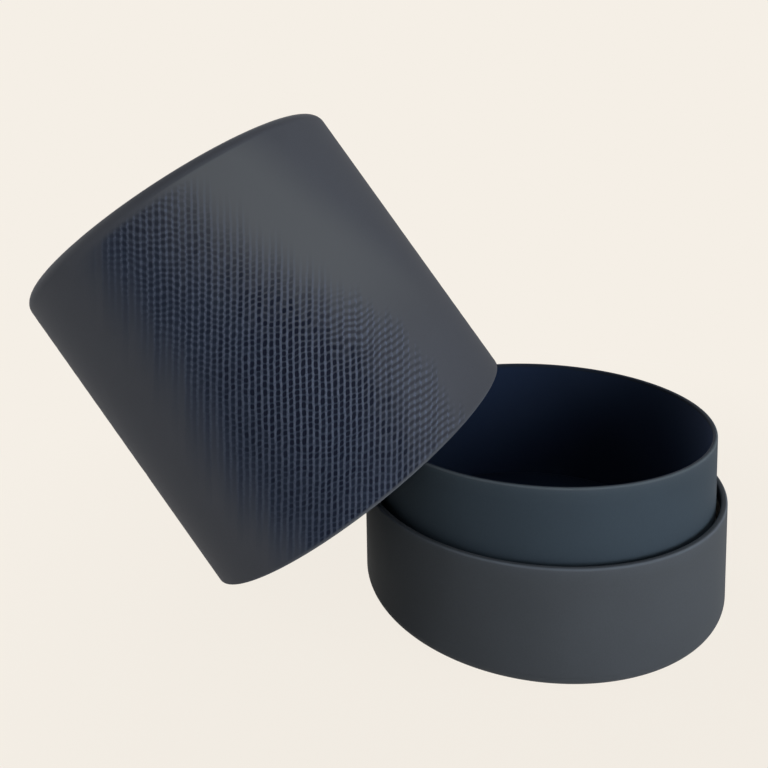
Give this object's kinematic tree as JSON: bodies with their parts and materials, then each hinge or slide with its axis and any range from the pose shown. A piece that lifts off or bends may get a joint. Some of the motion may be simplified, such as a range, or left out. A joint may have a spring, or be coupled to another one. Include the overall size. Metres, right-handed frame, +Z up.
{
  "type": "round box",
  "caption": "Round box of wrapped board with a neck that stands up inside its base, and a deep lid that is off and leans on the neck, mouth down.",
  "frame": {"origin": "middle of the base's flat foot, on the table", "axes": "+Z up along the base's axis, +X from the leaning lid towards the base, +Y away from the picture's camera"},
  "size_m": [0.1958, 0.1, 0.1324],
  "materials": {
    "cover_paper": "matte",
    "neck_paper": "matte",
    "lining_paper": "matte",
    "grey_board": "raw"
  },
  "bodies": {
    "base": {"base_tube": "grey_board", "base_end_board": "grey_board", "base_wrap": "cover_paper", "base_foot_paper": "cover_paper", "neck_packing": "grey_board", "neck_tube": "grey_board", "neck_wrap": "neck_paper", "neck_lining": "lining_paper", "floor_board": "grey_board", "floor_paper": "lining_paper"},
    "lid": {"lid_tube": "grey_board", "lid_end_board": "grey_board", "lid_wrap": "cover_paper", "lid_top_paper": "cover_paper", "lid_lining": "lining_paper", "lid_inner_disc": "lining_paper"}
  },
  "joints": [
    {"name": "lid_lift", "type": "slide", "parent": "base", "child": "lid", "axis": [-0.5807, 0, 0.8141], "range_m": [0, 0.1]}
  ]
}
